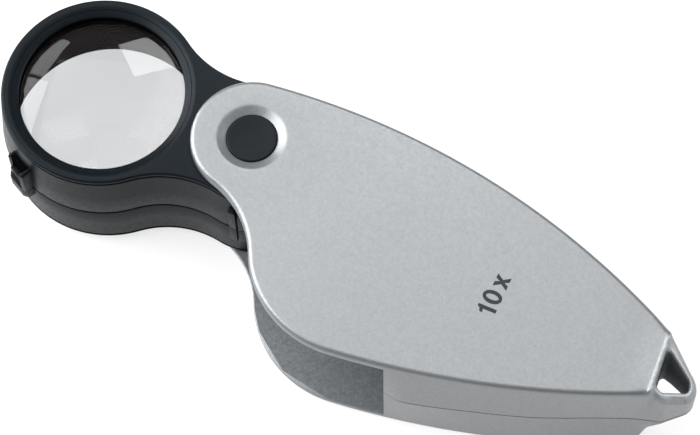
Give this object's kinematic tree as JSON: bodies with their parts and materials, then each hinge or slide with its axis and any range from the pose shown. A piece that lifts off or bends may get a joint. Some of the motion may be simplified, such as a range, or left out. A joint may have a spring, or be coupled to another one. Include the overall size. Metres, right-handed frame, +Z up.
{
  "type": "folding pocket loupe",
  "caption": "Folding pocket loupe: silver two-shell case with a lanyard eye, and a black lens head on a friction pivot that swings into the case's open side.",
  "frame": {"origin": "under the middle of the open loupe's box, on the case's bottom face", "axes": "+X from the lens head to the lanyard eye, +Y to the closed side of the case, +Z up through the lens"},
  "size_m": [0.1052, 0.0338, 0.0212],
  "materials": {
    "case_silver": "fine metallic silver paint",
    "head_black": "satin moulded",
    "cap_black": "satin moulded",
    "ring_black": "satin moulded",
    "tube_black": "satin moulded",
    "washer_black": "smooth",
    "steel": "turned",
    "bronze": "turned",
    "lens_glass": "polished, coated"
  },
  "bodies": {
    "case": {"upper_shell": "case_silver", "lower_shell": "case_silver", "pivot_sleeve": "steel", "pivot_screw": "steel", "pivot_nut": "steel", "upper_pivot_cap": "cap_black", "lower_pivot_cap": "cap_black", "upper_friction_washer": "washer_black", "lower_friction_washer": "washer_black", "spring_washer": "steel", "case_screws": "steel"},
    "head": {"head_upper_shell": "head_black", "head_lower_shell": "head_black", "upper_lens": "lens_glass", "lower_lens": "lens_glass", "lens_spacer": "tube_black", "upper_lens_ring": "ring_black", "lower_lens_ring": "ring_black", "upper_hub_bush": "bronze", "lower_hub_bush": "bronze", "head_screws": "steel"}
  },
  "joints": [
    {"name": "head_swing", "type": "hinge", "parent": "case", "child": "head", "pos_m": [-0.01617, 0.0048, 0.0106], "axis": [0, 0, 1], "range_deg": [0, 153.7]}
  ]
}
